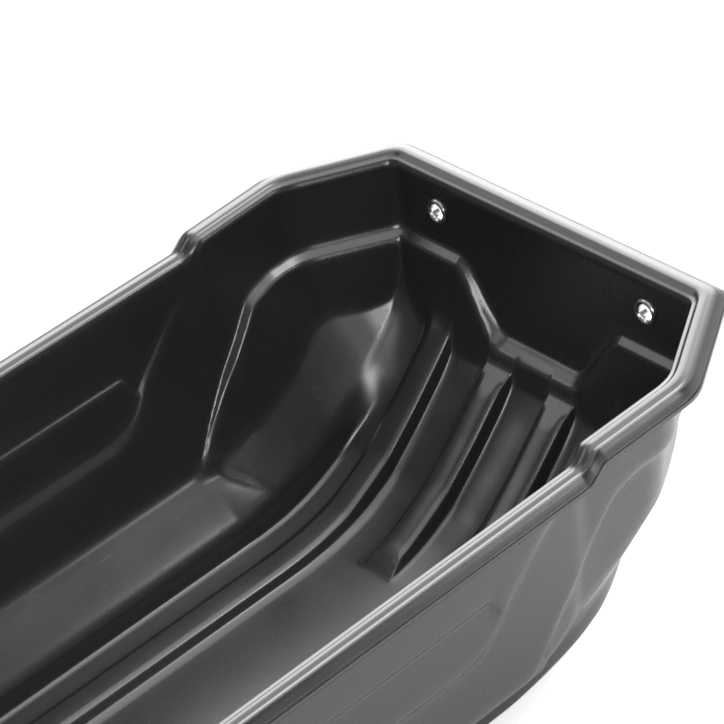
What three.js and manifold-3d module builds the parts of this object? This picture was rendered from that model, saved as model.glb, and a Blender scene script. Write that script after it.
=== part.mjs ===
// Ice fishing sled: a one-piece moulded tub with a rolled rim, an upswept ribbed bow and two rope eyelets.
// Millimetres. X across the sled, -Y to the bow, +Z up. Origin under the middle of the box, on the ground.
// Inside this file y runs from the bow's rim crest towards the stern and z is counted from the rim crest at
// the side of the bow; the group at the end moves everything to the part's own frame.
import * as THREE from "three";
import { mergeVertices } from "three/addons/utils/BufferGeometryUtils.js";
import Module from "manifold-3d";

const wasm = await Module();
wasm.setup();

// Driving dimensions of the hull
const WALL = 5; // sheet thickness
const LENGTH = 1300; // over the rim
const SIDE = 269; // half width to the rim crest along the sides
const SHOULDER = 271.4; // half width to the crest where the bow's slanted corner ends
const BOW_HALF = 204.9; // half width of the bow's straight front, to the crest
const BOW_CORNER = 107.3; // length of the bow's slanted corner along the sled
const STERN_HALF = 225;
const STERN_CORNER = 60;
const CORNER_BLEND = 9; // roundness of the plan corners

// Rim section: outward offset from the crest, drop below it, and where its under side has the same corner
const RIM = [
  [17.5, 10.8, 17.5],
  [13, 6.4, 10.5],
  [9.2, 2.6, 5.8],
  [0, 1, 1],
  [-5, 1.5, -3.8],
  [-12, 6.2, -7],
];
const RIM_OUT = RIM[0][0];
const RIM_IN = -RIM[RIM.length - 1][0];
const RIM_EDGE = RIM[RIM.length - 2];
const RIM_FOOT = RIM[RIM.length - 1][1]; // drop of the rim's inner foot at the bow
const SIDE_RIM_FOOT = 4.6; // the same along the bow's sides
const AFT_RIM_FOOT = 14; // and further aft
const FRONT_RIM = 1.19; // the rim's inner slope is wider at the bow
const BOW_RISE = 5.2; // the crest climbs this much towards the bow
const STEP_Y = [214.8, 237.8]; // the rim steps down behind the bow
const STEP = 13.5;

// Walls and ledges: drafts are sideways travel per millimetre of depth
const SIDE_DRAFT = 0.113;
const FRONT_DRAFT = 0.084;
const PANEL_DRAFT = 0.045;
const LOWER_DRAFT = 0.15;
const FRONT_LOWER_DRAFT = 0.2;
const LEDGE_Z = -75; // outer edge of the ledge round the bow
const LEDGE_WIDTH = 11;
const LEDGE_FALL = 0.75;
const SHELF_Z = -230; // outer edge of the sloped shelf along the sides
const CHINE_HALF = 187; // half width where the lower hull meets the shelf's foot
const CHINE_DROP = 5; // steepness of the drop from the chine to the floor
const SWEEP_WIDTH = 38; // at the bow the fall is a sweep as wide as this
const SWEEP_POWER = 1.2;
const EDGE_SWELL = 3.6; // the shelf swells by this towards its inner edge
const SWELL_REACH = 14;
const CREASE_Z = -150; // height of the crease on the stern's lower wall
const FLOOR_Z = -302;
const CHINE_Z = -279;
const PANEL_LINE_Z = -95; // fine step along the side panel
const PANEL_STEP = 2.5;
const PANEL_LEDGE_Z = -163;
const PANEL_LEDGE_RISE = 1.93;
const PANEL_START = 336;

// Bow ramp: distance from the bow and height of the floor between the ribs, and of the chine
const RAMP = [
  [38, -150],
  [42, -160],
  [53, -178],
  [71, -198],
  [111, -234],
  [153, -268],
  [187, -284],
  [212, -292],
  [244, -298.5],
  [275, -301.5],
  [300, FLOOR_Z],
];
const CHINE = [
  [33, -93],
  [43, -129],
  [54, CREASE_Z],
  [79, -176],
  [107, -200],
  [130, -218],
  [161, -243],
  [193, -258],
  [232, -266],
  [250, -270],
  [300, -282],
];
// Steepness of the pocket between the chine and the bow's ledge
const POCKET_SLOPE = [
  [60, 1.42],
  [120, 1.45],
  [165, 1.7],
  [190, 1.72],
  [211, 1.6],
  [232, 1.32],
  [250, 1.15],
  [290, 1.1],
];
// Ledge height along the side wall, which sinks from the bow ledge to the shelf
const SINK = [
  [60, LEDGE_Z],
  [112, LEDGE_Z - 1],
  [150, LEDGE_Z - 1],
  [184, -86],
  [212, -120],
  [260, -181],
  [283, -216],
  [292, -228],
  [300, SHELF_Z],
];
// Edge of the pillar between the bow and the side panel
const PILLAR = [
  [196, 30],
  [219, -26],
  [271, -66],
  [318, -115],
  [334, -140],
  [351, -156],
  [372, PANEL_LEDGE_Z],
];
// Notch in the middle of the front ledge: half width and height of its edge, down to the foot ledge
const FOOT_Z = -146;
const FOOT_FALL = 0.7;
const NOTCH = [
  [53, FOOT_Z],
  [54, -143],
  [100, -77],
  [103, LEDGE_Z],
];
// Steepness of that ledge across its width
const NOTCH_FALL = [
  [52, FOOT_FALL],
  [55, 1.05],
  [98, 1.05],
  [102, LEDGE_FALL],
];

// Floor ribs
const RIB_PITCH = 85.9;
const RIB_TOP = 30;
const RIB_FOOT = 40;
const RIB_HEIGHT = [
  [30, 14],
  [50, 18],
  [71, 21],
  [150, 20],
  [187, 17],
  [214, 12],
  [300, 11],
];
const RIB_NOSE = [36, 47];
const RIB_END = 70; // clear floor between the ribs and the stern slope

// Eyelets
const EYELET_X = BOW_HALF - 65.4;
const EYELET_Z = -38.7;
const BORE_R = 8; // rope hole
const BARREL_R = 9.2;
const HOLE_R = 9.6; // hole in the hull
const FLANGE_R = 13.5;
const WASHER_R = 13;
const FLANGE_RISE = 2.4;
const FLANGE_EDGE = 1;
const WASHER_T = 1.2;
const ROLL_R = 11; // rolled end behind the washer
const ROLL_T = 2.2;
const GAP = 0.3;

const STERN_Y = LENGTH - 2 * RIM_OUT; // crest line of the stern

// Smooth maximum, rounding of width k
function blendMax(a, b, k) {
  const over = Math.max(k - Math.abs(a - b), 0);
  return Math.max(a, b) + (over * over) / (4 * k);
}
const blendMin = (a, b, k) => -blendMax(-a, -b, k);
const clamp = (v, a, b) => Math.min(Math.max(v, a), b);
function smooth(a, b, v) {
  const t = clamp((v - a) / (b - a), 0, 1);
  return t * t * (3 - 2 * t);
}
// Straight interpolation in a list of pairs, level beyond its ends
function along(list, v) {
  const up = list[0][0] < list[list.length - 1][0];
  const rows = up ? list : [...list].reverse();
  if (v <= rows[0][0]) return rows[0][1];
  for (let i = 1; i < rows.length; i++) {
    const [x0, y0] = rows[i - 1];
    const [x1, y1] = rows[i];
    if (v <= x1) return y0 + ((y1 - y0) * (v - x0)) / (x1 - x0);
  }
  return rows[rows.length - 1][1];
}

// Plan outline: distance outside each face of the crest line
const bowLine = new THREE.Vector2(BOW_CORNER, BOW_HALF - SHOULDER).normalize();
const sternLine = new THREE.Vector2(STERN_CORNER, SIDE - STERN_HALF).normalize();
const crestHalf = (y) => SHOULDER + (SIDE - SHOULDER) * clamp((y - BOW_CORNER) / (STEP_Y[0] - BOW_CORNER), 0, 1);
function outsideFront(x, y) {
  if (y > frontFoot) return -RIM_IN - frontInside(y);
  return y > 0 ? -y / FRONT_RIM : -y;
}
const outsideBowCorner = (x, y) => bowLine.x * (x - BOW_HALF) + bowLine.y * y;
const outsideSide = (x, y) => x - crestHalf(y);
const outsideSternCorner = (x, y) => sternLine.x * (x - STERN_HALF) + sternLine.y * (y - STERN_Y);
const outsideStern = (x, y) => y - STERN_Y;
function outside(x, y) {
  const bow = blendMax(outsideFront(x, y), outsideBowCorner(x, y), CORNER_BLEND);
  const stern = blendMax(outsideStern(x, y), outsideSternCorner(x, y), CORNER_BLEND);
  return blendMax(blendMax(bow, outsideSide(x, y), CORNER_BLEND), stern, CORNER_BLEND);
}
const edges = [outsideFront, outsideBowCorner, outsideSide, outsideSternCorner, outsideStern];
const outsideSharp = (x, y) => Math.max(...edges.map((edge) => edge(x, y)));
const crestZ = (y) => BOW_RISE * (1 - clamp(y / STEP_Y[0], 0, 1)) - STEP * smooth(STEP_Y[0], STEP_Y[1], y);

// Rim: drop of its foot and of its section below the crest
function footDrop(y) {
  const side = smooth(98, 122, y);
  const aft = smooth(STEP_Y[0], STEP_Y[1], y);
  return RIM_FOOT * (1 - side) + SIDE_RIM_FOOT * (side - aft) + AFT_RIM_FOOT * aft;
}
function rimDrop(off, y) {
  if (off >= RIM_EDGE[0]) return along(RIM, off);
  const share = (RIM_EDGE[0] - off) / (RIM_IN + RIM_EDGE[0]);
  return RIM_EDGE[1] + (footDrop(y) - RIM_EDGE[1]) * share;
}

// Height of the rim's foot, and sideways travel of the wall from there down to a height
const footZ = (y) => crestZ(y) - footDrop(y);
const wallReach = (z, y) => (footZ(y) - z) * SIDE_DRAFT;
const ledgeReach = wallReach(LEDGE_Z, BOW_CORNER);

// Distance inside the rim's foot, where the bow's end wall counts as steep as the side walls
const frontFoot = RIM_IN * FRONT_RIM;
const ledgeRow = frontFoot + ledgeReach * (FRONT_DRAFT / SIDE_DRAFT);
function frontInside(y) {
  if (y < ledgeRow) return (y - frontFoot) * (SIDE_DRAFT / FRONT_DRAFT);
  const past = clamp(y - ledgeRow - LEDGE_WIDTH, 0, 20);
  return ledgeReach + y - ledgeRow - past * (1 - LOWER_DRAFT / FRONT_LOWER_DRAFT);
}
const sideInside = (x, y) => blendMin(-outsideBowCorner(x, y), -outsideSide(x, y), CORNER_BLEND) - RIM_IN;
const aftInside = (x, y) => blendMin(-outsideStern(x, y), -outsideSternCorner(x, y), CORNER_BLEND) - RIM_IN;

// Wall faces: the pillar and lower wall, and the panel set back above the panel ledge
function panelEnd(y) {
  return Math.min(y, STERN_Y + 40 - y);
}
function wallZ(x, y, s) {
  const top = footZ(y);
  const inner = top - s / SIDE_DRAFT;
  const edge = along(PILLAR, panelEnd(y));
  const solid = Math.min(inner, edge + PANEL_LEDGE_RISE * (wallReach(edge, y) - s));
  const outer = top - s / PANEL_DRAFT;
  const line = PANEL_LINE_Z - 8 * Math.max(PANEL_START - panelEnd(y), 0);
  const raised = top - (s - PANEL_STEP) / PANEL_DRAFT;
  const panel = Math.min(raised, line + (top - line) * PANEL_DRAFT + PANEL_STEP - s);
  return Math.max(solid, outer, panel);
}

// Ledge round the bow, its notch, and the shelf along the sides
const shelfReach = wallReach(SHELF_Z, LENGTH / 2);
const shelfWidth = SIDE - RIM_IN - shelfReach - CHINE_HALF;
const shelfFall = (SHELF_Z - CHINE_Z) / shelfWidth;
function ledgeZ(x, y, s) {
  const nearFront = y < 70;
  const edge = nearFront ? Math.min(along(NOTCH, x), LEDGE_Z) : along(SINK, y);
  let fall = LEDGE_FALL + (shelfFall - LEDGE_FALL) * smooth(240, 300, y);
  if (nearFront) fall = along(NOTCH_FALL, x);
  return edge - fall * (s - wallReach(edge, y));
}

// Lower hull: pocket and shelf along each side, the fall from the chine to the floor, the bow's lower face
const lowerReach = ledgeReach + LEDGE_WIDTH;
const lowerTop = LEDGE_Z - LEDGE_FALL * LEDGE_WIDTH;
const creaseReach = lowerReach + (lowerTop - CREASE_Z) * LOWER_DRAFT;
function lowerZ(x, y) {
  const xs = Math.max(x, CHINE_HALF);
  const past = xs - x;
  const out = xs - CHINE_HALF;
  const chine = along(CHINE, y);
  const sink = along(SINK, y);
  const width = LEDGE_WIDTH - 5 * smooth(190, 280, y);
  const steep = sink - LEDGE_FALL * width - (sideInside(xs, y) - wallReach(sink, y) - width) / LOWER_DRAFT;
  const pocket = chine + out * along(POCKET_SLOPE, y) - 2 * Math.max(y - 240 - 0.9 * (xs - 190), 0);
  const raised = Math.max(chine - CHINE_Z, 0) * clamp(1 - out / 30, 0, 1);
  const swell = EDGE_SWELL * (1 - Math.exp(-out / SWELL_REACH) - out / shelfWidth);
  const top = Math.max(steep, pocket, CHINE_Z + out * shelfFall + swell + raised);
  const base = along(RAMP, y);
  const swept = base + (top - base) * Math.max(1 - past / SWEEP_WIDTH, 0) ** SWEEP_POWER;
  const share = smooth(90, 180, y);
  const side = swept * (1 - share) + (top - past * CHINE_DROP) * share;
  const front = lowerTop - (frontInside(y) - lowerReach) / LOWER_DRAFT;
  const aft = aftInside(x, y);
  const reach = SIDE - RIM_IN - CHINE_HALF;
  const sternSlope = (CREASE_Z - CHINE_Z) / (reach - creaseReach);
  const stern = CHINE_Z + (reach - aft) * (aft < reach ? sternSlope : CHINE_DROP);
  return Math.max(side, front, stern);
}

// Floor with its four ribs
const floorEnd = STERN_Y - RIM_IN - (SIDE - RIM_IN - CHINE_HALF) - RIB_END;
function floorZ(x, y) {
  const base = along(RAMP, y);
  const foot = FOOT_Z - FOOT_FALL * (y - 28) - 2;
  let top = base;
  for (const place of [0.5, 1.5]) {
    const u = Math.abs(x - place * RIB_PITCH);
    const shape = clamp((RIB_FOOT / 2 - u) / (RIB_FOOT / 2 - RIB_TOP / 2), 0, 1);
    const nose = place > 1 ? smooth(RIB_NOSE[0], RIB_NOSE[1], y) : 1;
    const end = smooth(floorEnd, floorEnd - 25, y);
    const rib = base + along(RIB_HEIGHT, y) * shape * nose * end;
    top = Math.max(top, place > 1 ? rib : Math.min(rib, Math.max(base, foot)));
  }
  return top;
}

// Upper surface of the whole hull
function topZ(x0, y) {
  const x = Math.abs(x0);
  const off = outside(x, y);
  if (off >= -RIM_IN) return crestZ(y) - rimDrop(off, y);
  const s = -off - RIM_IN;
  const hull = Math.max(wallZ(x, y, s), Math.min(ledgeZ(x, y, s), lowerZ(x, y)), floorZ(x, y));
  return Math.min(hull, footZ(y));
}

// Under surface: everywhere one sheet thickness from the upper surface
const feelers = [[0, 0]];
for (const share of [0.45, 0.75, 0.92, 0.99]) {
  for (let i = 0; i < 16; i++) {
    const a = (i * Math.PI) / 8;
    feelers.push([WALL * share * Math.cos(a), WALL * share * Math.sin(a)]);
  }
}
function underZ(x, y) {
  let z = Infinity;
  for (const [dx, dy] of feelers) {
    if (outside(Math.abs(x + dx), y + dy) > RIM_OUT) continue;
    z = Math.min(z, topZ(x + dx, y + dy) - Math.sqrt(WALL * WALL - dx * dx - dy * dy));
  }
  return z;
}

// Grid lines across the sled: rim, wall, ledge, lower hull, chine, then the ribs.
// Each line has its place on the upper surface and, one wall further out, its place on the under surface.
const UPPER = 0;
const UNDER = 1;
const rimLines = RIM.map((r) => [r[0], r[2]]);
const bandReach = wallReach(PANEL_LEDGE_Z, LENGTH / 2);
// Walls: offset at the bow and along the sides
const wallLines = [
  [RIM_IN + 4, RIM_IN + 3.8],
  [RIM_IN + ledgeReach, RIM_IN + bandReach - 8],
  [RIM_IN + lowerReach, RIM_IN + bandReach],
  [RIM_IN + lowerReach + 4, RIM_IN + shelfReach],
];
const lowerShares = [0.8, 0.4];
const slopeShift = WALL * Math.tan(Math.atan2(11, (RIB_FOOT - RIB_TOP) / 2) / 2);
const ribLines = [];
for (const place of [1.5, 0.5]) {
  for (const u of [RIB_FOOT / 2, RIB_TOP / 2, -RIB_TOP / 2, -RIB_FOOT / 2]) {
    const middle = place * RIB_PITCH;
    ribLines.push([middle + u, middle + u - Math.sign(u) * slopeShift]);
  }
}
const edgeLines = rimLines.length + wallLines.length;
const halfLines = edgeLines + lowerShares.length + 2 + ribLines.length;
const columns = 2 * halfLines - 1;
// Half width of the line at one offset from the crest, at distance y from the bow
function offsetHalf(w, y) {
  const bow = BOW_HALF + (w - bowLine.y * y) / bowLine.x;
  const stern = STERN_HALF + (w - sternLine.y * (y - STERN_Y)) / sternLine.x;
  return Math.min(bow, crestHalf(y) + w, stern);
}
function edgeOffset(i, y, face) {
  if (i < rimLines.length) return rimLines[i][face];
  const [bow, side] = wallLines[i - rimLines.length];
  return face * WALL - bow - (side - bow) * smooth(150, 300, Math.min(y, STERN_Y - y));
}
function lineHalf(i, y, face) {
  if (i < edgeLines) return offsetHalf(edgeOffset(i, y, face), y);
  const outer = offsetHalf(edgeOffset(edgeLines - 1, y, face), y);
  const inner = ribLines[0][face];
  const chine = Math.min(CHINE_HALF + face * WALL, inner + 0.8 * (outer - inner));
  const n = i - edgeLines;
  if (n < lowerShares.length) return chine + lowerShares[n] * (outer - chine);
  if (n === lowerShares.length) return chine;
  const foot = chine - 5 - face - 9 * (1 - smooth(90, 180, y));
  if (n === lowerShares.length + 1) return Math.max(foot, (chine + inner) / 2);
  return ribLines[n - lowerShares.length - 2][face];
}

// Grid lines along the sled
const frontLines = [frontFoot + 4 * (FRONT_DRAFT / SIDE_DRAFT), ledgeRow];
const bowRows = [25, 31, 36, 40, 46, 53, 62, 71, 84, 97, 111, 132, 153, 170, 187, 210, 235];
const midRows = [260, 283, 300, 325, 351, 372, 500, 800];
const aftRows = [372, 351, 325, 300, 260].map((v) => STERN_Y + 40 - v);
const sternRows = [115, 87, 82, 50, 32, 20, 16].map((v) => STERN_Y - v);
const bowRimRow = (line, face) => -line[UPPER] * FRONT_RIM - (line[UNDER] - line[UPPER]) * face;
const rimRows = (face) => rimLines.map((line) => (line[UPPER] < 0 ? bowRimRow(line, face) : -line[face]));
const slopeRows = [...frontLines, ...bowRows, ...midRows, ...aftRows, ...sternRows];
function rowsOf(face) {
  const bow = (y) => WALL * (1 - smooth(20, 260, y));
  const stern = (y) => WALL * smooth(STERN_Y - 240, STERN_Y - 20, y);
  const list = rimRows(face);
  list.push(...slopeRows.map((y) => y + face * (stern(y) - bow(y))));
  return list.concat(rimLines.map((line) => STERN_Y + line[face]).reverse());
}
const rows = [rowsOf(UPPER), rowsOf(UNDER)];

// Point of the grid, drawn onto the rounded corners of the plan
function gridPoint(i, j, face) {
  const y = rows[face][j];
  const k = i < halfLines ? i : columns - i;
  const side = i < halfLines ? -1 : 1;
  const p = new THREE.Vector2(lineHalf(k, y, face), y);
  const ring = Math.min(k, j, rows[face].length - 1 - j);
  if (ring < rimLines.length + 2) {
    const goal = outsideSharp(p.x, p.y);
    for (let n = 0; n < 6; n++) {
      const miss = outside(p.x, p.y) - goal;
      const gx = (outside(p.x + 0.1, p.y) - outside(p.x - 0.1, p.y)) / 0.2;
      const gy = (outside(p.x, p.y + 0.1) - outside(p.x, p.y - 0.1)) / 0.2;
      const g = Math.max(gx * gx + gy * gy, 0.2);
      p.x -= (miss * gx) / g;
      p.y -= (miss * gy) / g;
    }
  }
  return new THREE.Vector2(side * Math.max(p.x, 0), p.y);
}

// A closed block of one layer, whose two faces are laid on the upper and under surfaces
function hullGeometry() {
  const nx = columns;
  const ny = rows[UPPER].length - 1;
  const block = new THREE.BoxGeometry(nx, ny, 1, nx, ny, 1);
  const pos = block.getAttribute("position");
  const faces = [];
  const known = new Map();
  for (let n = 0; n < pos.count; n++) {
    const i = Math.round(pos.getX(n) + nx / 2);
    const j = Math.round(pos.getY(n) + ny / 2);
    const face = pos.getZ(n) > 0 ? UPPER : UNDER;
    faces.push(face);
    const key = (i * 1000 + j) * 2 + face;
    if (!known.has(key)) {
      const p = gridPoint(i, j, face);
      known.set(key, [p.x, p.y, face === UPPER ? topZ(p.x, p.y) : underZ(p.x, p.y)]);
    }
    pos.setXYZ(n, ...known.get(key));
  }
  foldAlongEdges(block, faces);
  return block;
}

// Each cell is folded along the diagonal that lies nearer to the true surface
function foldAlongEdges(block, faces) {
  const pos = block.getAttribute("position");
  const index = block.index.array;
  for (let n = 0; n < index.length; n += 6) {
    const [a, b, d, , c] = index.slice(n, n + 5);
    const cell = [a, b, c, d];
    if (cell.some((v) => faces[v] !== faces[a])) continue;
    const x = cell.reduce((sum, v) => sum + pos.getX(v), 0) / 4;
    const y = cell.reduce((sum, v) => sum + pos.getY(v), 0) / 4;
    const z = faces[a] === UPPER ? topZ(x, y) : underZ(x, y);
    const asIs = Math.abs((pos.getZ(b) + pos.getZ(d)) / 2 - z);
    const other = Math.abs((pos.getZ(a) + pos.getZ(c)) / 2 - z);
    if (other < asIs - 1e-6) index.set([a, b, c, a, c, d], n);
  }
}

// Solids for cutting
function solid(geometry) {
  const g = geometry.clone();
  g.deleteAttribute("normal");
  g.deleteAttribute("uv");
  const merged = mergeVertices(g, 1e-4);
  const vertProperties = new Float32Array(merged.getAttribute("position").array);
  const triVerts = new Uint32Array(merged.index.array);
  return new wasm.Manifold(new wasm.Mesh({ numProp: 3, vertProperties, triVerts }));
}
function geometryOf(manifold) {
  const mesh = manifold.getMesh();
  const g = new THREE.BufferGeometry();
  g.setAttribute("position", new THREE.BufferAttribute(new Float32Array(mesh.vertProperties), 3));
  g.setIndex(new THREE.BufferAttribute(new Uint32Array(mesh.triVerts), 1));
  const flat = g.toNonIndexed();
  flat.computeVertexNormals();
  return flat;
}

// Eyelet frame: on the wall's inner face, axis square to the wall, pointing into the tub
const frontTilt = Math.atan(FRONT_DRAFT);
const eyeletY = frontFoot + FRONT_DRAFT * (footZ(frontFoot) - EYELET_Z);
function atEyelet(side) {
  const g = new THREE.Group();
  g.position.set(side * EYELET_X, eyeletY, EYELET_Z);
  g.rotation.x = -Math.PI / 2 + frontTilt;
  return g;
}
const turned = (points) => new THREE.LatheGeometry(points.map(([r, h]) => new THREE.Vector2(r, h)), 40);
// Turned pieces keep their axis on Z, pointing into the tub
const upright = (geometry) => geometry.rotateX(Math.PI / 2);

const washerBack = -WALL - GAP - WASHER_T;
const rollTop = washerBack - GAP;
const rollBack = rollTop - ROLL_T;
const eyeletSection = [
  [BORE_R, rollBack + 0.8],
  [BORE_R + 0.8, rollBack],
  [ROLL_R - 0.8, rollBack],
  [ROLL_R, rollBack + 0.8],
  [ROLL_R, rollTop],
  [BARREL_R, rollTop],
  [BARREL_R, GAP],
  [FLANGE_R, GAP],
  [FLANGE_R, GAP + FLANGE_EDGE / 2],
  [FLANGE_R - 0.6, GAP + FLANGE_EDGE],
  [(FLANGE_R + BARREL_R) / 2, GAP + FLANGE_RISE],
  [BARREL_R, GAP + FLANGE_RISE],
  [BORE_R, GAP + FLANGE_EDGE],
  [BORE_R, rollBack + 0.8],
];
const washerSection = [
  [BARREL_R + GAP, washerBack],
  [WASHER_R, washerBack],
  [WASHER_R, -WALL - GAP],
  [BARREL_R + GAP, -WALL - GAP],
  [BARREL_R + GAP, washerBack],
];

const plastic = new THREE.MeshStandardMaterial({ color: 0x17181a, roughness: 0.38, metalness: 0 });
const steel = new THREE.MeshStandardMaterial({ color: 0xc9ccd0, roughness: 0.25, metalness: 1 });

const sled = new THREE.Group();
const tub = new THREE.Group();
tub.position.set(0, -STERN_Y / 2, WALL - FLOOR_Z);
sled.add(tub);

let hull = solid(hullGeometry());
for (const side of [-1, 1]) {
  const place = atEyelet(side);
  place.updateMatrix();
  const drill = upright(new THREE.CylinderGeometry(HOLE_R, HOLE_R, 40, 40));
  drill.applyMatrix4(place.matrix);
  hull = hull.subtract(solid(drill));
}
const hullMesh = new THREE.Mesh(geometryOf(hull), plastic);
hullMesh.name = "hull";
tub.add(hullMesh);

for (const [side, label] of [[-1, "right"], [1, "left"]]) {
  const place = atEyelet(side);
  tub.add(place);
  const eyelet = new THREE.Mesh(upright(turned(eyeletSection)), steel);
  eyelet.name = `eyelet_${label}`;
  const washer = new THREE.Mesh(upright(turned(washerSection)), steel);
  washer.name = `washer_${label}`;
  place.add(eyelet, washer);
}

export default sled;
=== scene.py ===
import math

import bmesh
import bpy
import numpy as np
from mathutils import Matrix, Vector


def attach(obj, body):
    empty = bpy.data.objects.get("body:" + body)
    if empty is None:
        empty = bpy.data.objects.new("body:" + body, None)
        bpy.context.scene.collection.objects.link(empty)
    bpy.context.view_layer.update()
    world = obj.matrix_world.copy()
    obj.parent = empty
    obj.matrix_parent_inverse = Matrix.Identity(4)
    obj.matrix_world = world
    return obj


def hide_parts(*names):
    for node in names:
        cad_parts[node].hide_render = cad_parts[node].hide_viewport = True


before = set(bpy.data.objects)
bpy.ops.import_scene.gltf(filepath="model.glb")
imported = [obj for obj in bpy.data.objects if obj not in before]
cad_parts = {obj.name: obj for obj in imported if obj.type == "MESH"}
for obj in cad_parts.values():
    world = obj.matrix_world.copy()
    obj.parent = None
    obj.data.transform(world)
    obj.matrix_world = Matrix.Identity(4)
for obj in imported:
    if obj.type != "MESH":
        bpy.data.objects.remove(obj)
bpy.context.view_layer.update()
MM = 0.001

# Measures of the tub in millimetres, the same as in its solid. Here y runs from the bow's rim crest towards
# the stern, x outwards from the middle, and z is counted from the rim crest at the side of the bow. A draft
# is how far a wall comes in for each millimetre down, and a fall is how far a face drops for each millimetre
# inwards. A pair of y values is the stretch over which something changes.
WALL = 5.0
LENGTH = 1300.0

# Rim crest in plan: half widths, and how far the cut corners reach along the sides
SIDE = 269.0
SHOULDER = 271.4
BOW_HALF = 204.9
BOW_CORNER = 107.3
STERN_HALF = 225.0
STERN_CORNER = 60.0
CORNER_BLEND = 9.0

# Rim: its reach outwards and inwards, the depth of its inner foot, and the step in its crest
RIM_OUT = 17.5
RIM_IN = 12.0
RIM_FOOT = 6.2
SIDE_RIM_FOOT = 4.6
AFT_RIM_FOOT = 14.0
FRONT_RIM = 1.19  # how much wider its inner side is across the bow
SIDE_RIM_Y = (98, 122)
BOW_RISE = 5.2
STEP_Y = (214.8, 237.8)
STEP = 13.5
STERN_Y = LENGTH - 2 * RIM_OUT

# Walls
SIDE_DRAFT = 0.113
FRONT_DRAFT = 0.084
LOWER_DRAFT = 0.15
FRONT_LOWER_DRAFT = 0.2
FRONT_LOWER_RUN = 20.0

# Side panel above its own ledge, with a line along it, and the pillar that it starts at
PANEL_DRAFT = 0.045
PANEL_LINE_Z = -95.0
PANEL_STEP = 2.5
PANEL_LEDGE_Z = -163.0
PANEL_LEDGE_RISE = 1.93
PANEL_START = 336.0
PANEL_END_SLOPE = 8.0
PANEL_SPAN = STERN_Y + 40  # its start and its end, both counted from the bow, add up to this
PANEL_LEDGE_BLEND = 10.0
PANEL_LINE_BLEND = 6.0
PANEL_FACE_BLEND = 3.0
PILLAR_BLEND = 12.0

# Ledge round the bow, with a notch in its middle, that narrows along the sides and sinks into the shelf
LEDGE_Z = -75.0
LEDGE_WIDTH = 11.0
LEDGE_FALL = 0.75
FRONT_END = 70.0
FOOT_Z = -146.0
FOOT_FALL = 0.7
FOOT_Y = 28.0
FOOT_GAP = 2.0  # how far below the notch's foot the inner ribs end
NARROWER = 5.0
NARROWING_Y = (190, 280)
TO_SHELF_Y = (240, 300)
SINKING_Y = (150, 185)
SUNK_Y = (270, 295)
# How softly the ledge meets the face below it and the wall above: at the bow, where it sinks, and aft
LOW_BLEND = (12, 4, 1)
AFT_BLEND_Y = (262, 290)
WALL_BLEND = (14, 5)

# Shelf along each side, its inner edge at the chine, and the drop from there to the floor
SHELF_Z = -230.0
CHINE_Z = -279.0
CHINE_HALF = 187.0
CHINE_DROP = 5.0
CHINE_BLEND = 1.5
EDGE_SWELL = 3.6
SWELL_REACH = 14.0
RAISED_WIDTH = 30.0
SHELF_BLEND = 3.0
SIDE_BLEND = 8.0

# Towards the bow the drop becomes a long sweep up from the floor, and the shelf a pocket under the ledge
SWEEP_WIDTH = 38.0
SWEEP_POWER = 1.2
SWEEP_Y = (90, 180)
POCKET_END = (240, 190)  # y and x of a place on the slanted line where the pocket ends
POCKET_SLANT = 0.9
FALL_AWAY = 2.0  # how steeply a face drops past its own end
CREASE_Z = -150.0
FRONT_BLEND = 6.0
STERN_DROP_BLEND = 5.0
STERN_BLEND = 8.0

# Floor and its ribs: for the two on each side, the place in pitches and the stretch over which one rises
FLOOR_Z = -302.0
FLOOR_BLEND = (24, 1)
FLOOR_BLEND_Y = (50, 120)
RIB_PITCH = 85.9
RIB_TOP = 30.0
RIB_FOOT = 40.0
RIB_HEIGHT = 11.0
RIB_END = 70.0
RIB_TAIL = 25.0
RIB_BLEND = 0.35
RIBS = ((0.5, None), (1.5, (36, 47)))
FOOT_BLEND = 3.0


def curve(pairs, soft, step=0.5):
    """A line through the pairs with its corners rounded over about the soft length."""
    pairs = sorted(pairs)
    xs = np.arange(pairs[0][0] - 4 * soft - 1, pairs[-1][0] + 4 * soft + 1, step)
    ys = np.interp(xs, [p[0] for p in pairs], [p[1] for p in pairs])
    reach = np.arange(-3 * soft, 3 * soft + step, step)
    weights = np.exp(-0.5 * (reach / soft) ** 2)
    padded = np.pad(ys, len(reach) // 2, mode="edge")
    smoothed = np.convolve(padded, weights / weights.sum(), mode="valid")[: len(xs)]
    return lambda v: np.interp(v, xs, smoothed)


# Rim section: drop below the crest line at an outward offset, round the bow, along its sides and further aft
LIP = [(RIM_OUT, 10.8), (16.2, 9.9)]
BEAD = [(10.4, 4.4), (9.6, 2.6), (8.6, 1.9), (7.4, 1.8), (5.0, 2.7), (2.8, 1.8)]
BOW_TOP = [(10.8, 5.2), (9, 3.3), (6, 2.2), (3, 1.6), (0.5, 1.0), (-2, 1.0), (-4.8, 1.5)]
BOW_INNER = [(-6.0, 2.6), (-7.4, 4.6), (-8.4, 5.0), (-RIM_IN, RIM_FOOT)]
SIDE_INNER = [(1.4, 1.2), (-1, 1.0), (-4.6, 1.3), (-5.6, 2.0), (-6.8, 3.6), (-RIM_IN, SIDE_RIM_FOOT)]
AFT_INNER = [(1.2, 1.3), (-1.5, 1.4), (-3.2, 2.0), (-4.6, 3.1), (-9.2, 3.5), (-9.8, 4.8),
             (-RIM_IN, AFT_RIM_FOOT)]
rim_drops = [
    curve(LIP + BOW_TOP + BOW_INNER, 0.6, 0.1),
    curve(LIP + BEAD + SIDE_INNER, 0.6, 0.1),
    curve(LIP + BEAD + AFT_INNER, 0.5, 0.1),
]

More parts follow.
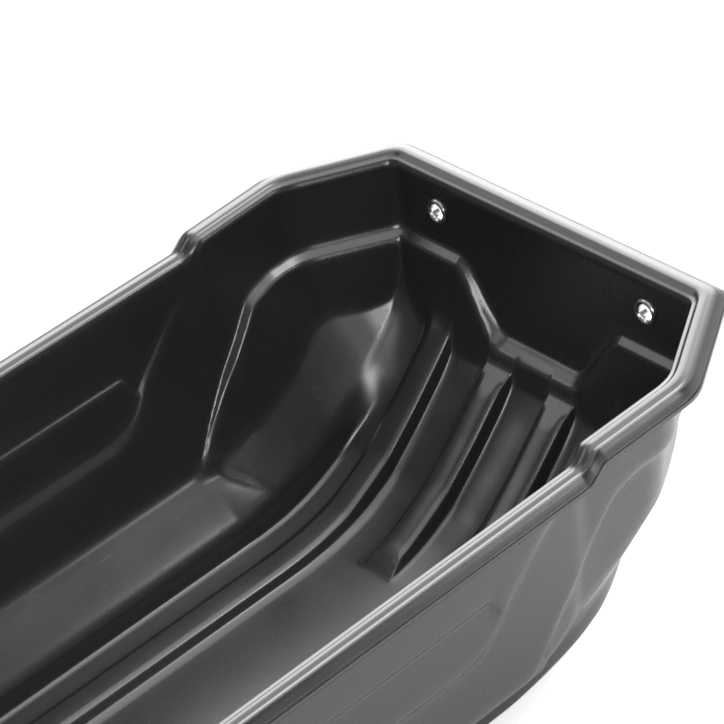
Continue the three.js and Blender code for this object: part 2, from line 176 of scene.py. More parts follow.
# Heights along y, of the floor's middle, the chine, the sinking ledge, the pillar's edge and the ribs
ramp_z = curve([(38, -150), (42, -160), (53, -178), (71, -198), (111, -234), (153, -268), (187, -284),
                (212, -292), (244, -298.5), (275, -301.5), (300, FLOOR_Z)], 6)
chine_z = curve([(33, -93), (43, -129), (54, CREASE_Z), (79, -176), (107, -200), (130, -218), (161, -243),
                 (193, -258), (232, -266), (250, -270), (300, -282)], 4)
sink_z = curve([(60, LEDGE_Z), (112, LEDGE_Z - 1), (150, LEDGE_Z - 1), (184, -86), (212, -120),
                (260, -181), (283, -216), (292, -228), (300, SHELF_Z)], 4)
pillar_z = curve([(196, 30), (219, -26), (271, -66), (318, -115), (334, -140), (351, -156),
                  (372, PANEL_LEDGE_Z)], 3)
rib_height = curve([(30, 14), (50, 18), (71, 21), (150, 20), (187, 17), (214, 12),
                    (300, RIB_HEIGHT)], 6)
# How steeply the pocket rises outwards, along y
pocket_slope = curve([(60, 1.42), (120, 1.45), (165, 1.7), (190, 1.72), (211, 1.6), (232, 1.32),
                      (250, 1.15), (290, 1.1)], 12)
# Height and fall of the ledge across the bow, along x
notch_z = curve([(53, FOOT_Z), (54, -143), (100, -77), (103, LEDGE_Z), (106, LEDGE_Z)], 1.6, 0.25)
notch_fall = curve([(52, FOOT_FALL), (55, 1.05), (98, 1.05), (102, LEDGE_FALL)], 1.5, 0.25)


def most(a, b, k):
    """Larger of two values, rounded where they cross."""
    over = np.maximum(k - np.abs(a - b), 0)
    return np.maximum(a, b) + over * over / (4 * k)


def least(a, b, k):
    return -most(-a, -b, k)


def smooth(a, b, v):
    t = np.clip((v - a) / (b - a), 0, 1)
    return t * t * (3 - 2 * t)


def mix(a, b, share):
    return a + (b - a) * share


def crest_z(y):
    return BOW_RISE * (1 - np.clip(y / STEP_Y[0], 0, 1)) - STEP * smooth(*STEP_Y, y)


def rim_shares(y):
    """How much of each rim section there is at a distance from the bow."""
    side = smooth(*SIDE_RIM_Y, y)
    aft = smooth(*STEP_Y, y)
    return 1 - side, side - aft, aft


def foot_z(y):
    """Height of the rim's inner foot."""
    shares = rim_shares(y)
    return crest_z(y) - shares[0] * RIM_FOOT - shares[1] * SIDE_RIM_FOOT - shares[2] * AFT_RIM_FOOT


def wall_reach(z, y):
    """How far inside the rim's foot the side wall is at a height."""
    return (foot_z(y) - z) * SIDE_DRAFT


LEDGE_REACH = float(wall_reach(LEDGE_Z, BOW_CORNER))
LOWER_REACH = LEDGE_REACH + LEDGE_WIDTH
LOWER_TOP = LEDGE_Z - LEDGE_FALL * LEDGE_WIDTH
CREASE_REACH = LOWER_REACH + (LOWER_TOP - CREASE_Z) * LOWER_DRAFT
SHELF_REACH = float(wall_reach(SHELF_Z, LENGTH / 2))
SHELF_WIDTH = SIDE - RIM_IN - SHELF_REACH - CHINE_HALF
SHELF_FALL = (SHELF_Z - CHINE_Z) / SHELF_WIDTH
CHINE_REACH = SIDE - RIM_IN - CHINE_HALF
FLOOR_END = STERN_Y - RIM_IN - CHINE_REACH - RIB_END

# The bow's walls are steeper than the sides', so a place along y there is turned into the depth inside a
# side wall that has the same height. The first and the last pair carry the line on past both ends.
FRONT_FOOT = RIM_IN * FRONT_RIM
FRONT_LEDGE = FRONT_FOOT + LEDGE_REACH * FRONT_DRAFT / SIDE_DRAFT
FRONT_LOWER = FRONT_LEDGE + LEDGE_WIDTH
FRONT_LOWER_REACH = LOWER_REACH + FRONT_LOWER_RUN * LOWER_DRAFT / FRONT_LOWER_DRAFT
front_inside = curve(
    [
        (FRONT_FOOT - 60, -60 * SIDE_DRAFT / FRONT_DRAFT),
        (FRONT_FOOT, 0),
        (FRONT_LEDGE, LEDGE_REACH),
        (FRONT_LOWER, LOWER_REACH),
        (FRONT_LOWER + FRONT_LOWER_RUN, FRONT_LOWER_REACH),
        (2000, FRONT_LOWER_REACH + 1900),
    ],
    0.5,
    0.25,
)

# Directions in which the cut corners face
bow_line = Vector((BOW_CORNER, BOW_HALF - SHOULDER)).normalized()
stern_line = Vector((STERN_CORNER, SIDE - STERN_HALF)).normalized()


def crest_half(y):
    return mix(SHOULDER, SIDE, np.clip((y - BOW_CORNER) / (STEP_Y[0] - BOW_CORNER), 0, 1))


def edge_distances(x, y):
    """Distance outside each face of the crest line: bow, its corner, side, the stern's corner and stern."""
    front = np.where(y > FRONT_FOOT, -RIM_IN - front_inside(y), -y / np.where(y > 0, FRONT_RIM, 1))
    return (
        front,
        bow_line.x * (x - BOW_HALF) + bow_line.y * y,
        x - crest_half(y),
        stern_line.x * (x - STERN_HALF) + stern_line.y * (y - STERN_Y),
        y - STERN_Y,
    )


def outside(x, y):
    """Distance outside the whole crest line, rounded at its corners."""
    front, bow_corner, side, stern_corner, stern = edge_distances(x, y)
    sides = most(most(front, bow_corner, CORNER_BLEND), side, CORNER_BLEND)
    return most(sides, most(stern, stern_corner, CORNER_BLEND), CORNER_BLEND)


def aft_inside(x, y):
    """Distance inside the rim's foot at the stern."""
    stern_corner, stern = edge_distances(x, y)[3:]
    return least(-stern - RIM_IN, -stern_corner - RIM_IN, CORNER_BLEND)


def side_inside(x, y):
    """Distance inside the rim's foot at the sides and the bow's corners."""
    _, bow_corner, side, _, _ = edge_distances(x, y)
    return least(-bow_corner - RIM_IN, -side - RIM_IN, CORNER_BLEND)


def wall_z(y, inside):
    """Pillar and lower wall on one plane, and the side panel set back above its ledge.

    The place is given by its distance from the bow and its depth inside the rim's foot.
    """
    end = np.minimum(y, PANEL_SPAN - y)
    top = foot_z(y)
    inner = top - inside / SIDE_DRAFT
    edge = pillar_z(end)
    solid = least(inner, edge + PANEL_LEDGE_RISE * (wall_reach(edge, y) - inside), PANEL_LEDGE_BLEND)
    outer = top - inside / PANEL_DRAFT
    line = PANEL_LINE_Z - PANEL_END_SLOPE * np.maximum(PANEL_START - end, 0)
    raised = top - (inside - PANEL_STEP) / PANEL_DRAFT
    panel = least(raised, line + (top - line) * PANEL_DRAFT + PANEL_STEP - inside, PANEL_LINE_BLEND)
    return most(solid, most(outer, panel, PANEL_FACE_BLEND), PILLAR_BLEND)


def shelf_swell(x):
    """The shelf swells a little towards its inner edge."""
    across = np.maximum(x - CHINE_HALF, 0)
    return np.maximum(EDGE_SWELL * (1 - np.exp(-across / SWELL_REACH) - across / SHELF_WIDTH), 0)


def ledge_z(x, y, inside):
    """Ledge round the bow with its notch, sinking along the sides into the shelf."""
    front = y < FRONT_END
    edge = np.where(front, np.minimum(notch_z(x), LEDGE_Z), sink_z(y))
    to_shelf = smooth(*TO_SHELF_Y, y)
    fall = np.where(front, notch_fall(x), mix(LEDGE_FALL, SHELF_FALL, to_shelf))
    return edge - fall * (inside - wall_reach(edge, y)) + shelf_swell(x) * to_shelf


def side_low_z(x, y):
    """Pocket and shelf along each side, from the wall under the ledge to the chine."""
    sink = sink_z(y)
    width = LEDGE_WIDTH - NARROWER * smooth(*NARROWING_Y, y)
    steep = sink - LEDGE_FALL * width
    steep = steep - (side_inside(x, y) - wall_reach(sink, y) - width) / LOWER_DRAFT
    pocket = chine_z(y) + (x - CHINE_HALF) * pocket_slope(y)
    past_end = np.maximum(y - POCKET_END[0] - POCKET_SLANT * (x - POCKET_END[1]), 0)
    shelf = CHINE_Z + (x - CHINE_HALF) * SHELF_FALL + shelf_swell(x)
    raised = np.maximum(chine_z(y) - CHINE_Z, 0)
    shelf = shelf + raised * np.clip(1 - (x - CHINE_HALF) / RAISED_WIDTH, 0, 1)
    return most(steep, most(pocket - FALL_AWAY * past_end, shelf, SHELF_BLEND), SIDE_BLEND)


def lower_z(x, y, aft):
    """Sides with the drop from the chine to the floor, the bow's lower face and the stern's."""
    side = side_low_z(np.maximum(x, CHINE_HALF), y)
    past = -least(x - CHINE_HALF, 0 * x, CHINE_BLEND)
    swept = mix(ramp_z(y), side, np.clip(1 - past / SWEEP_WIDTH, 0, 1) ** SWEEP_POWER)
    swept = swept - FALL_AWAY * np.maximum(past - SWEEP_WIDTH, 0)
    share = smooth(*SWEEP_Y, y)
    side = swept * (1 - share) + (side - past * CHINE_DROP) * share
    front = LOWER_TOP - (front_inside(y) - LOWER_REACH) / LOWER_DRAFT
    slope = (CREASE_Z - CHINE_Z) / (CHINE_REACH - CREASE_REACH)
    short = CHINE_REACH - aft
    stern = least(CHINE_Z + short * slope, CHINE_Z + short * CHINE_DROP, STERN_DROP_BLEND)
    return most(most(side, front, FRONT_BLEND), stern, STERN_BLEND)


def floor_z(x, y):
    """Floor with its ribs, whose inner pair ends at the foot of the ledge's notch."""
    base = ramp_z(y)
    foot = FOOT_Z - FOOT_FALL * (y - FOOT_Y) - FOOT_GAP
    top = base
    for place, rise in RIBS:
        aside = np.abs(x - place * RIB_PITCH)
        shape = (RIB_FOOT / 2 - aside) / (RIB_FOOT / 2 - RIB_TOP / 2)
        shape = least(most(shape, 0 * shape, RIB_BLEND), 0 * shape + 1, RIB_BLEND)
        if rise:
            shape = shape * smooth(*rise, y)
        shape = shape * smooth(FLOOR_END, FLOOR_END - RIB_TAIL, y)
        rib = base + rib_height(y) * shape
        if not rise:
            rib = np.minimum(rib, np.maximum(base, foot))
        top = np.maximum(top, rib)
    return top


def top_z(x, y):
    """Upper surface of the whole tub."""
    x = np.abs(x)
    off = outside(x, y)
    edge = np.maximum(off, -RIM_IN)
    rim = crest_z(y) - sum(share * drop(edge) for share, drop in zip(rim_shares(y), rim_drops))
    inside = -off - RIM_IN
    sinking = smooth(*SINKING_Y, y) * (1 - smooth(*SUNK_Y, y))
    low_blend = mix(mix(LOW_BLEND[0], LOW_BLEND[1], sinking), LOW_BLEND[2], smooth(*AFT_BLEND_Y, y))
    low = least(ledge_z(x, y, inside), lower_z(x, y, aft_inside(x, y)), low_blend)
    hull = most(wall_z(y, inside), low, mix(*WALL_BLEND, sinking))
    hull = most(hull, floor_z(x, y), mix(*FLOOR_BLEND, smooth(*FLOOR_BLEND_Y, y)))
    hull = least(hull, foot_z(y) + 0 * x, FOOT_BLEND)
    return np.where(off >= -RIM_IN, rim, np.minimum(hull, rim))


# Places round a point at which the sheet's thickness is felt for, in rings that are shares of it
feelers = [(0.0, 0.0)]
for share in (0.45, 0.75, 0.92, 0.99):
    for n in range(16):
        a = n * math.pi / 8
        feelers.append((WALL * share * math.cos(a), WALL * share * math.sin(a)))


def under_z(x, y):
    """Under surface: everywhere one sheet thickness from the upper surface."""
    low = np.full(x.shape, np.inf)
    for dx, dy in feelers:
        z = top_z(x + dx, y + dy) - math.sqrt(WALL * WALL - dx * dx - dy * dy)
        z = np.where(outside(np.abs(x + dx), y + dy) > RIM_OUT + 1e-6, np.inf, z)
        low = np.minimum(low, z)
    return low


# Main lines along the tub, outermost first. Those on the rim and the ribs have a place on the upper and one
# on the under surface, as an offset outside the crest or as a half width. Those on the wall have a depth
# inside the crest at the bow and one further aft.
UPPER, UNDER = 0, 1
RIM_LINES = [
    (RIM_OUT, RIM_OUT), (13, 10.5), (8.5, 5.5), (4.3, 3), (0, 1), (-4.5, -3.5), (-8.5, -5),
    (-RIM_IN, WALL - RIM_IN),
]
BAND_REACH = float(wall_reach(PANEL_LEDGE_Z, LENGTH / 2))
WALL_LINES = [
    (RIM_IN + 4, RIM_IN + 3.8),
    (RIM_IN + LEDGE_REACH, RIM_IN + BAND_REACH - 8),
    (RIM_IN + LOWER_REACH, RIM_IN + BAND_REACH),
    (RIM_IN + LOWER_REACH + 5, RIM_IN + SHELF_REACH),
]
WALL_LINE_Y = (150, 300)
SHELF_SHARES = (0.66, 0.33, 0)
RIB_SHIFT = WALL * math.tan(math.atan2(RIB_HEIGHT, (RIB_FOOT - RIB_TOP) / 2) / 2)
RIB_LINES = []
for place in (1.5, 0.5):
    for u in (RIB_FOOT / 2, RIB_TOP / 2, -RIB_TOP / 2, -RIB_FOOT / 2):
        RIB_LINES.append((place * RIB_PITCH + u, place * RIB_PITCH + u - math.copysign(RIB_SHIFT, u)))
MIDDLE_STEP = 5.0

# Cells between one main line and the next, and how many cells in the grid stops following the rim's corners
RIM_CELLS = [3, 4, 4, 4, 4, 4, 3]
CELLS = RIM_CELLS + [4, 5, 8, 5] + [5, 5, 4] + [4, 1] + [4, 5, 4, 5, 4, 5, 4, 5, 1]
EDGE_COUNT = len(RIM_LINES) + len(WALL_LINES)
LEAVING = (sum(CELLS[: EDGE_COUNT - 2]), sum(CELLS[: EDGE_COUNT + 3]))

# Rows inside the rim: distance from the bow, and cells to the next row
ROWS = [
    (FRONT_FOOT, 3), (FRONT_FOOT + 3, 4), (FRONT_LEDGE, 4), (25, 5), (31, 4), (37, 5), (46, 4), (54, 13),
    (90, 18), (150, 23), (235, 20), (300, 16), (380, 6), (480, 6), (850, 3),
    (STERN_Y - 340, 12), (STERN_Y - 180, 7), (STERN_Y - 115, 6), (STERN_Y - 87, 3), (STERN_Y - 82, 7),
    (STERN_Y - 50, 4), (STERN_Y - 32, 4), (STERN_Y - 20, 3), (STERN_Y - 16, 3), (STERN_Y - RIM_IN, 0),
]
BOW_SHIFT_Y = (20, 260)
STERN_SHIFT_Y = (STERN_Y - 240, STERN_Y - 20)


def offset_half(w, y):
    """Half width of the crest line moved outwards by w."""
    bow = BOW_HALF + (w - bow_line.y * y) / bow_line.x
    stern = STERN_HALF + (w - stern_line.y * (y - STERN_Y)) / stern_line.x
    return np.minimum(np.minimum(bow, crest_half(y) + w), stern)


def line_halves(y, face):
    """Half widths of every main line at one distance from the bow."""
    out = [offset_half(line[face], y) for line in RIM_LINES]
    aft = smooth(*WALL_LINE_Y, min(y, STERN_Y - y))
    out += [offset_half(face * WALL - mix(*line, aft), y) for line in WALL_LINES]
    inner = RIB_LINES[0][face]
    outer = out[-1]
    chine = min(CHINE_HALF + face * WALL, mix(inner, outer, 0.8))
    out += [mix(chine, outer, share) for share in SHELF_SHARES]
    # Two lines close together at the foot of the drop, where the surface turns sharply
    sweep = 1 - smooth(*SWEEP_Y, y)
    drop_width = np.clip((max(chine_z(y), CHINE_Z) - ramp_z(y)) / CHINE_DROP, 3, 8)
    foot = max(chine - drop_width - face - 9 * sweep, (chine + inner) / 2)
    out += [foot + 0.4, foot + 0.4 + mix(0.03, 0.15, sweep) * (inner - foot)]
    out += [line[face] for line in RIB_LINES]
    return [float(v) for v in out + [out[-1] - MIDDLE_STEP]]


def fill(values, cells):
    """The values with even steps put between them."""
    out = []
    for a, b, n in zip(values, values[1:], cells):
        out += [a + (b - a) * i / n for i in range(n)]
    return out + [values[-1]]


def row_places(face):
    """Distances from the bow of every row."""
    bow_rim = []
    for upper, under in RIM_LINES:
        bow_rim.append(-upper * FRONT_RIM - (under - upper) * face if upper < 0 else -(upper, under)[face])
    stern_rim = [STERN_Y + line[face] for line in reversed(RIM_LINES)]
    hull = np.array(fill([y for y, _ in ROWS], [cells for _, cells in ROWS])[1:-1])
    bow_shift = WALL * (1 - smooth(*BOW_SHIFT_Y, hull))
    stern_shift = WALL * smooth(*STERN_SHIFT_Y, hull)
    hull = hull + face * (stern_shift - bow_shift)
    return fill(bow_rim, RIM_CELLS) + list(hull) + fill(stern_rim, RIM_CELLS[::-1])


def grid_places(face):
    """Plan place of every grid point, drawn onto the rounded corners."""
    rows = row_places(face)
    half = np.array([fill(line_halves(y, face), CELLS) for y in rows])
    x = np.concatenate([-half, half[:, ::-1]], axis=1)
    y = np.repeat(np.array(rows)[:, None], x.shape[1], axis=1)
    across = np.arange(x.shape[1])
    across = np.minimum(across, across[::-1])
    along = np.arange(x.shape[0])
    along = np.minimum(along, along[::-1])
    ring = np.minimum(across[None, :], along[:, None])
    follow = 1 - smooth(*LEAVING, ring)
    side = np.sign(x)
    px, py = np.abs(x), y.copy()
    goal = np.maximum.reduce(edge_distances(px, py))
    # Each round moves the points down the slope of the rounded distance by what they still miss
    e = 0.1
    for _ in range(6):
        miss = outside(px, py) - goal
        gx = (outside(px + e, py) - outside(px - e, py)) / (2 * e)
        gy = (outside(px, py + e) - outside(px, py - e)) / (2 * e)
        g = np.maximum(gx * gx + gy * gy, 0.2)
        px = px - miss * gx / g
        py = py - miss * gy / g
    return mix(x, side * px, follow), mix(y, py, follow)


def in_frame(x, y, z):
    """A place in the shared frame, in metres, from one in the tub's own measures."""
    return Vector((x, y - STERN_Y / 2, z + WALL - FLOOR_Z)) * MM


def grid_sheet(bm, face):
    """Lays a plain grid over one face of the tub, and gives back its outer edges."""
    x, y = grid_places(face)
    z = top_z(x, y) if face == UPPER else under_z(x, y)
    rows, columns = x.shape
    made = bmesh.ops.create_grid(bm, x_segments=columns - 1, y_segments=rows - 1, size=1)["verts"]
    for v in made:
        i = round((v.co.x + 1) / 2 * (columns - 1))
        j = round((v.co.y + 1) / 2 * (rows - 1))
        v.co = in_frame(x[j, i], y[j, i], z[j, i])
    faces = {f for v in made for f in v.link_faces}
    if face == UNDER:
        bmesh.ops.reverse_faces(bm, faces=list(faces))
    return [e for e in {e for f in faces for e in f.edges} if e.is_boundary]


def finish_mesh(bm, name, material, smooth_faces=True):
    mesh = bpy.data.meshes.new(name)
    bm.to_mesh(mesh)
    bm.free()
    for p in mesh.polygons:
        p.use_smooth = smooth_faces
    obj = bpy.data.objects.new(name, mesh)
    bpy.context.scene.collection.objects.link(obj)
    mesh.materials.append(material)
    return obj


# Materials
def node_group(name, inputs, outputs):
    group = bpy.data.node_groups.new(name, "ShaderNodeTree")
    for label, value in inputs:
        socket = group.interface.new_socket(label, in_out="INPUT", socket_type="NodeSocketFloat")
        socket.default_value = value
    for label in outputs:
        group.interface.new_socket(label, in_out="OUTPUT", socket_type="NodeSocketFloat")
    return group, group.nodes.new("NodeGroupInput"), group.nodes.new("NodeGroupOutput")


def set_inputs(node, values):
    for label, value in values.items():
        node.inputs[label].default_value = value


def worn_surface():
    """Fine moulding grain, faint clouding and a few light scuffs."""
    group, given, out = node_group(
        "worn_surface", [("Grain Scale", 900.0), ("Cloud Scale", 14.0)], ["Grain", "Clouds", "Scuffs"]
    )
    new, link = group.nodes.new, group.links.new
    place = new("ShaderNodeTexCoord")
    grain = new("ShaderNodeTexNoise")
    set_inputs(grain, {"Detail": 3})
    link(place.outputs["Object"], grain.inputs["Vector"])
    link(given.outputs["Grain Scale"], grain.inputs["Scale"])
    clouds = new("ShaderNodeTexNoise")
    set_inputs(clouds, {"Detail": 4})
    link(place.outputs["Object"], clouds.inputs["Vector"])
    link(given.outputs["Cloud Scale"], clouds.inputs["Scale"])
    stretch = new("ShaderNodeMapping")
    set_inputs(stretch, {"Scale": (40, 8, 40), "Rotation": (0.2, 0.1, 0.5)})
    link(place.outputs["Object"], stretch.inputs["Vector"])
    streaks = new("ShaderNodeTexNoise")
    set_inputs(streaks, {"Scale": 5, "Detail": 6})
    link(stretch.outputs["Vector"], streaks.inputs["Vector"])
    sharp = new("ShaderNodeMapRange")
    set_inputs(sharp, {"From Min": 0.62, "From Max": 0.72})
    link(streaks.outputs["Fac"], sharp.inputs["Value"])
    link(grain.outputs["Fac"], out.inputs["Grain"])
    link(clouds.outputs["Fac"], out.inputs["Clouds"])
    link(sharp.outputs["Result"], out.inputs["Scuffs"])
    return group


GRAIN_DEPTH = 0.00001
SCUFF_ROUGHNESS = 0.06


def finish_of(name, effects, dark, light, roughness, grain_scale, metallic=0.0):
    """A material whose colour and roughness drift a little, with a fine bump."""
    material = bpy.data.materials.new(name)
    material.use_nodes = True
    nodes, link = material.node_tree.nodes, material.node_tree.links.new
    shader = nodes["Principled BSDF"]
    set_inputs(shader, {"Metallic": metallic, "Specular IOR Level": 0.9})
    worn = nodes.new("ShaderNodeGroup")
    worn.node_tree = effects
    set_inputs(worn, {"Grain Scale": grain_scale})
    colour = nodes.new("ShaderNodeMix")
    colour.data_type = "RGBA"
    set_inputs(colour, {"A": (*dark, 1), "B": (*light, 1)})
    link(worn.outputs["Clouds"], colour.inputs["Factor"])
    link(colour.outputs["Result"], shader.inputs["Base Color"])
    gloss = nodes.new("ShaderNodeMapRange")
    set_inputs(gloss, {"From Min": 0.3, "From Max": 0.7, "To Min": roughness[0], "To Max": roughness[1]})
    link(worn.outputs["Clouds"], gloss.inputs["Value"])
    duller = nodes.new("ShaderNodeMath")
    duller.operation = "MULTIPLY_ADD"
    duller.inputs[1].default_value = SCUFF_ROUGHNESS
    link(worn.outputs["Scuffs"], duller.inputs[0])
    link(gloss.outputs["Result"], duller.inputs[2])
    link(duller.outputs["Value"], shader.inputs["Roughness"])
    bump = nodes.new("ShaderNodeBump")
    set_inputs(bump, {"Strength": 1.0, "Distance": GRAIN_DEPTH})
    link(worn.outputs["Grain"], bump.inputs["Height"])
    link(bump.outputs["Normal"], shader.inputs["Normal"])
    return material


effects = worn_surface()
black_plastic = finish_of(
    "black_plastic", effects, (0.013, 0.013, 0.0135), (0.016, 0.016, 0.017), (0.25, 0.29), 900
)
plated_steel = finish_of(
    "plated_steel", effects, (0.62, 0.63, 0.65), (0.74, 0.75, 0.77), (0.16, 0.26), 600, 1.0
)

# The tub
EYELET_X = 139.5
EYELET_Z = -38.7
HOLE_R = 9.6
FRONT_TILT = math.atan(FRONT_DRAFT)
EYELET_Y = FRONT_FOOT + FRONT_DRAFT * (float(foot_z(FRONT_FOOT)) - EYELET_Z)


def at_eyelet(side):
    """Eyelet frame: on the wall's inner face, its axis pointing into the tub."""
    place = in_frame(side * EYELET_X, EYELET_Y, EYELET_Z)
    return Matrix.Translation(place) @ Matrix.Rotation(-math.pi / 2 + FRONT_TILT, 4, "X")


def drill_hole(tub, side):
    """Cuts one eyelet's hole right through the bow wall."""
    bm = bmesh.new()
    bmesh.ops.create_cone(bm, cap_ends=True, segments=64, radius1=HOLE_R * MM, radius2=HOLE_R * MM,
                          depth=0.03, matrix=at_eyelet(side))
    drill = finish_mesh(bm, "drill", black_plastic, False)
    cut = tub.modifiers.new("cut", "BOOLEAN")
    cut.object = drill
    cut.solver = "EXACT"
    bpy.context.view_layer.update()
    drilled = tub.evaluated_get(bpy.context.evaluated_depsgraph_get())
    mesh = bpy.data.meshes.new_from_object(drilled)
    tub.modifiers.clear()
    tub.data = mesh
    bpy.data.objects.remove(drill)


bm = bmesh.new()
bmesh.ops.bridge_loops(bm, edges=grid_sheet(bm, UPPER) + grid_sheet(bm, UNDER))
bmesh.ops.recalc_face_normals(bm, faces=bm.faces[:])
tub = finish_mesh(bm, "tub", black_plastic)
for side in (-1, 1):
    drill_hole(tub, side)
tub.data.name = "tub"
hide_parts("hull")
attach(tub, "root")

# Eyelets, in their own frame: radius, and height above the wall's inner face
BORE_R = 8.0
BARREL_R = 9.2
GAP = 0.3
WASHER_T = 1.2
WASHER_R = 13.0
BEVEL = 0.3
WASHER_FRONT = -WALL - GAP
WASHER_BACK = WASHER_FRONT - WASHER_T
ROLL_TOP = WASHER_BACK - GAP


def arc(cx, cz, r, start, end, n):
    """Points of an arc about a middle, from one angle to another."""
    angles = [math.radians(start + (end - start) * i / n) for i in range(n + 1)]
    return [(cx + r * math.cos(a), cz + r * math.sin(a)) for a in angles]


# Flange with a rounded crown on the tub's side, barrel, and a roll behind the washer
eyelet_section = (
    [(BARREL_R, GAP), (13.3, GAP)]
    + arc(12.7, GAP + 0.6, 0.6, -60, 70, 5)
    + arc(10.8, GAP + 0.7, 1.9, 62, 118, 8)
    + arc(10.0, GAP - 0.3, 2.0, 130, 180, 8)
    + [(BORE_R, ROLL_TOP - 1.4)]
    + arc(BORE_R + 0.9, ROLL_TOP - 1.4, 0.9, 180, 270, 5)[1:]
    + arc(10.2, ROLL_TOP - 1.3, 1.0, -90, 0, 5)
    + [(11.2, ROLL_TOP), (BARREL_R, ROLL_TOP)]
)
washer_section = [
    (BARREL_R + GAP, WASHER_BACK),
    (WASHER_R - BEVEL, WASHER_BACK),
    (WASHER_R, WASHER_BACK + BEVEL),
    (WASHER_R, WASHER_FRONT - BEVEL),
    (WASHER_R - BEVEL, WASHER_FRONT),
    (BARREL_R + GAP, WASHER_FRONT),
]


def turned_piece(name, section, side):
    """A ring turned from its section, at one of the eyelets."""
    bm = bmesh.new()
    points = [bm.verts.new((r * MM, 0, h * MM)) for r, h in section]
    edges = [bm.edges.new((points[i], points[(i + 1) % len(points)])) for i in range(len(points))]
    bmesh.ops.spin(bm, geom=points + edges, cent=(0, 0, 0), axis=(0, 0, 1), angle=2 * math.pi, steps=96,
                   use_merge=True, dvec=(0, 0, 0))
    bmesh.ops.remove_doubles(bm, verts=bm.verts[:], dist=1e-6)
    bmesh.ops.recalc_face_normals(bm, faces=bm.faces[:])
    bmesh.ops.transform(bm, matrix=at_eyelet(side), verts=bm.verts[:])
    return finish_mesh(bm, name, plated_steel)


for side, label in ((-1, "right"), (1, "left")):
    for kind, section in (("eyelet", eyelet_section), ("washer", washer_section)):
        piece = turned_piece(f"{kind}_ring_{label}", section, side)
        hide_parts(f"{kind}_{label}")
        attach(piece, "root")

# Camera at the photograph's place: its direction and distance from the middle of the bow's rim, and how far
# it is then moved sideways and upwards in its own view
PHOTO_PIXELS = 724
FOCAL_PIXELS = 3090.9
CAMERA_TURN, CAMERA_LIFT, CAMERA_ROLL = (math.radians(a) for a in (54.51, 36.34, -11.23))
CAMERA_AWAY = 2889.91
CAMERA_ASIDE = -172.23
CAMERA_UP = -134.88
SENSOR = 36


def place_camera():
    back = Vector((
        -math.sin(CAMERA_TURN) * math.cos(CAMERA_LIFT),
        math.cos(CAMERA_TURN) * math.cos(CAMERA_LIFT),
        math.sin(CAMERA_LIFT),
    ))
    level = Vector((-math.cos(CAMERA_TURN), -math.sin(CAMERA_TURN), 0))
    upright = level.cross(-back)
    right = level * math.cos(CAMERA_ROLL) + upright * math.sin(CAMERA_ROLL)
    up = -level * math.sin(CAMERA_ROLL) + upright * math.cos(CAMERA_ROLL)
    place = back * CAMERA_AWAY + CAMERA_ASIDE * right + CAMERA_UP * up
    data = bpy.data.cameras.new("camera")
    data.sensor_width = SENSOR
    data.lens = FOCAL_PIXELS / PHOTO_PIXELS * SENSOR
    data.clip_end = 100
    camera = bpy.data.objects.new("camera", data)
    turned = Matrix((right, up, back)).transposed().to_4x4()
    camera.matrix_world = Matrix.Translation(in_frame(*place)) @ turned
    bpy.context.scene.collection.objects.link(camera)
    bpy.context.scene.camera = camera


# Floor and light
FLOOR_SIZE = 12
FLOOR_GREY = 0.7
FLOOR_SEEN = 0.6
FLOOR_MIRRORED = 0.15
ROOM_LEVEL = 0.2
# Glows in the world: turn, lift, inner and outer angle, strength
GLOWS = [(-38, 24, 14, 34, 4.6), (-60, 46, 20, 60, 2.0), (33, 39, 4, 16, 2.0), (145, 75, 15, 38, 1.6)]
# Soft lights that face the bow: name, turn, lift, distance, size and radiance
BOW_PLACE = Vector((0.05, -0.5, 0.2))
SOFTBOXES = [
    ("overhead", -129, 58, 2.5, (0.75, 0.55), 11),
    ("near_strip", -152, 31, 2.5, (0.35, 0.38), 10),
    ("low_left", 132, 24, 2.5, (1.0, 0.75), 9),
]


def add_up(tree, values, most_one=False):
    total = values[0]
    for value in values[1:]:
        add = tree.nodes.new("ShaderNodeMath")
        add.operation = "ADD"
        add.use_clamp = most_one
        tree.links.new(total, add.inputs[0])
        tree.links.new(value, add.inputs[1])
        total = add.outputs["Value"]
    return total


def lit_by_rays(tree, kinds):
    """One for rays of these kinds and nought for the rest."""
    path = tree.nodes.new("ShaderNodeLightPath")
    return add_up(tree, [path.outputs[kind] for kind in kinds], True)


def ramp_by(tree, value, high, start=0.0, end=1.0):
    """Rises smoothly from nought to the high value while the given one goes from start to end."""
    spread = tree.nodes.new("ShaderNodeMapRange")
    spread.interpolation_type = "SMOOTHSTEP"
    set_inputs(spread, {"From Min": start, "From Max": end, "To Min": 0.0, "To Max": high})
    tree.links.new(value, spread.inputs["Value"])
    return spread.outputs["Result"]


def set_stage():
    """Pale floor that looks white to the camera and brighter than its grey in mirrors."""
    pale = bpy.data.materials.new("pale_floor")
    pale.use_nodes = True
    tree = pale.node_tree
    shader = tree.nodes["Principled BSDF"]
    grey = (FLOOR_GREY, FLOOR_GREY, FLOOR_GREY, 1)
    set_inputs(shader, {"Base Color": grey, "Roughness": 0.7, "Emission Color": (1, 1, 1, 1)})
    seen = ramp_by(tree, lit_by_rays(tree, ["Is Camera Ray"]), FLOOR_SEEN)
    mirrored = ramp_by(tree, lit_by_rays(tree, ["Is Glossy Ray", "Is Transmission Ray"]), FLOOR_MIRRORED)
    tree.links.new(add_up(tree, [seen, mirrored]), shader.inputs["Emission Strength"])
    bm = bmesh.new()
    bmesh.ops.create_grid(bm, x_segments=1, y_segments=1, size=FLOOR_SIZE)
    floor = finish_mesh(bm, "floor", pale, False)


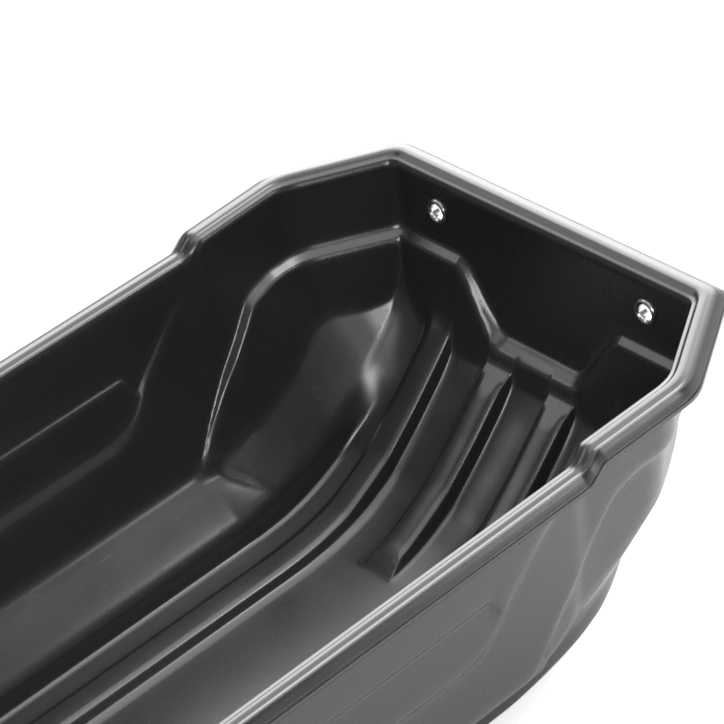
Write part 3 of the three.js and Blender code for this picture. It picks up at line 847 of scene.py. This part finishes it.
def heading(turn, lift):
    """Direction from its turn about the upright, counted from +X, and its lift, in degrees."""
    turn, lift = math.radians(turn), math.radians(lift)
    return Vector((math.cos(turn) * math.cos(lift), math.sin(turn) * math.cos(lift), math.sin(lift)))


def softbox(name, turn, lift, distance, size, radiance):
    """Rectangular soft light that faces the sled's bow from a direction."""
    data = bpy.data.lights.new(name, "AREA")
    data.shape = "RECTANGLE"
    data.size, data.size_y = size
    data.energy = radiance * math.pi * size[0] * size[1]
    lamp = bpy.data.objects.new(name, data)
    away = heading(turn, lift)
    lamp.location = BOW_PLACE + away * distance
    lamp.rotation_euler = (-away).to_track_quat("-Z", "Y").to_euler()
    bpy.context.scene.collection.objects.link(lamp)


def glow_towards(tree, place, turn, lift, inner, outer, strength):
    """A round glow in the world that fades from the inner to the outer angle about a direction."""
    aim = tree.nodes.new("ShaderNodeVectorMath")
    aim.operation = "DOT_PRODUCT"
    aim.inputs[1].default_value = heading(turn, lift)
    tree.links.new(place.outputs["Generated"], aim.inputs[0])
    edges = math.cos(math.radians(outer)), math.cos(math.radians(inner))
    return ramp_by(tree, aim.outputs["Value"], strength, *edges)


def light_scene():
    """White backdrop for the camera, a dim room with glows for the sled, and soft lights."""
    world = bpy.data.worlds.new("studio")
    bpy.context.scene.world = world
    world.use_nodes = True
    tree = world.node_tree
    background = tree.nodes["Background"]
    set_inputs(background, {"Color": (1, 1, 1, 1)})
    place = tree.nodes.new("ShaderNodeTexCoord")
    room = tree.nodes.new("ShaderNodeValue")
    room.outputs["Value"].default_value = ROOM_LEVEL
    glows = [glow_towards(tree, place, *glow) for glow in GLOWS]
    backdrop = tree.nodes.new("ShaderNodeMix")
    set_inputs(backdrop, {"B": 1.0})
    tree.links.new(lit_by_rays(tree, ["Is Camera Ray"]), backdrop.inputs["Factor"])
    tree.links.new(add_up(tree, [room.outputs["Value"]] + glows), backdrop.inputs["A"])
    tree.links.new(backdrop.outputs["Result"], background.inputs["Strength"])
    for box in SOFTBOXES:
        softbox(*box)


place_camera()
set_stage()
light_scene()
bpy.context.scene.view_settings.view_transform = "Standard"
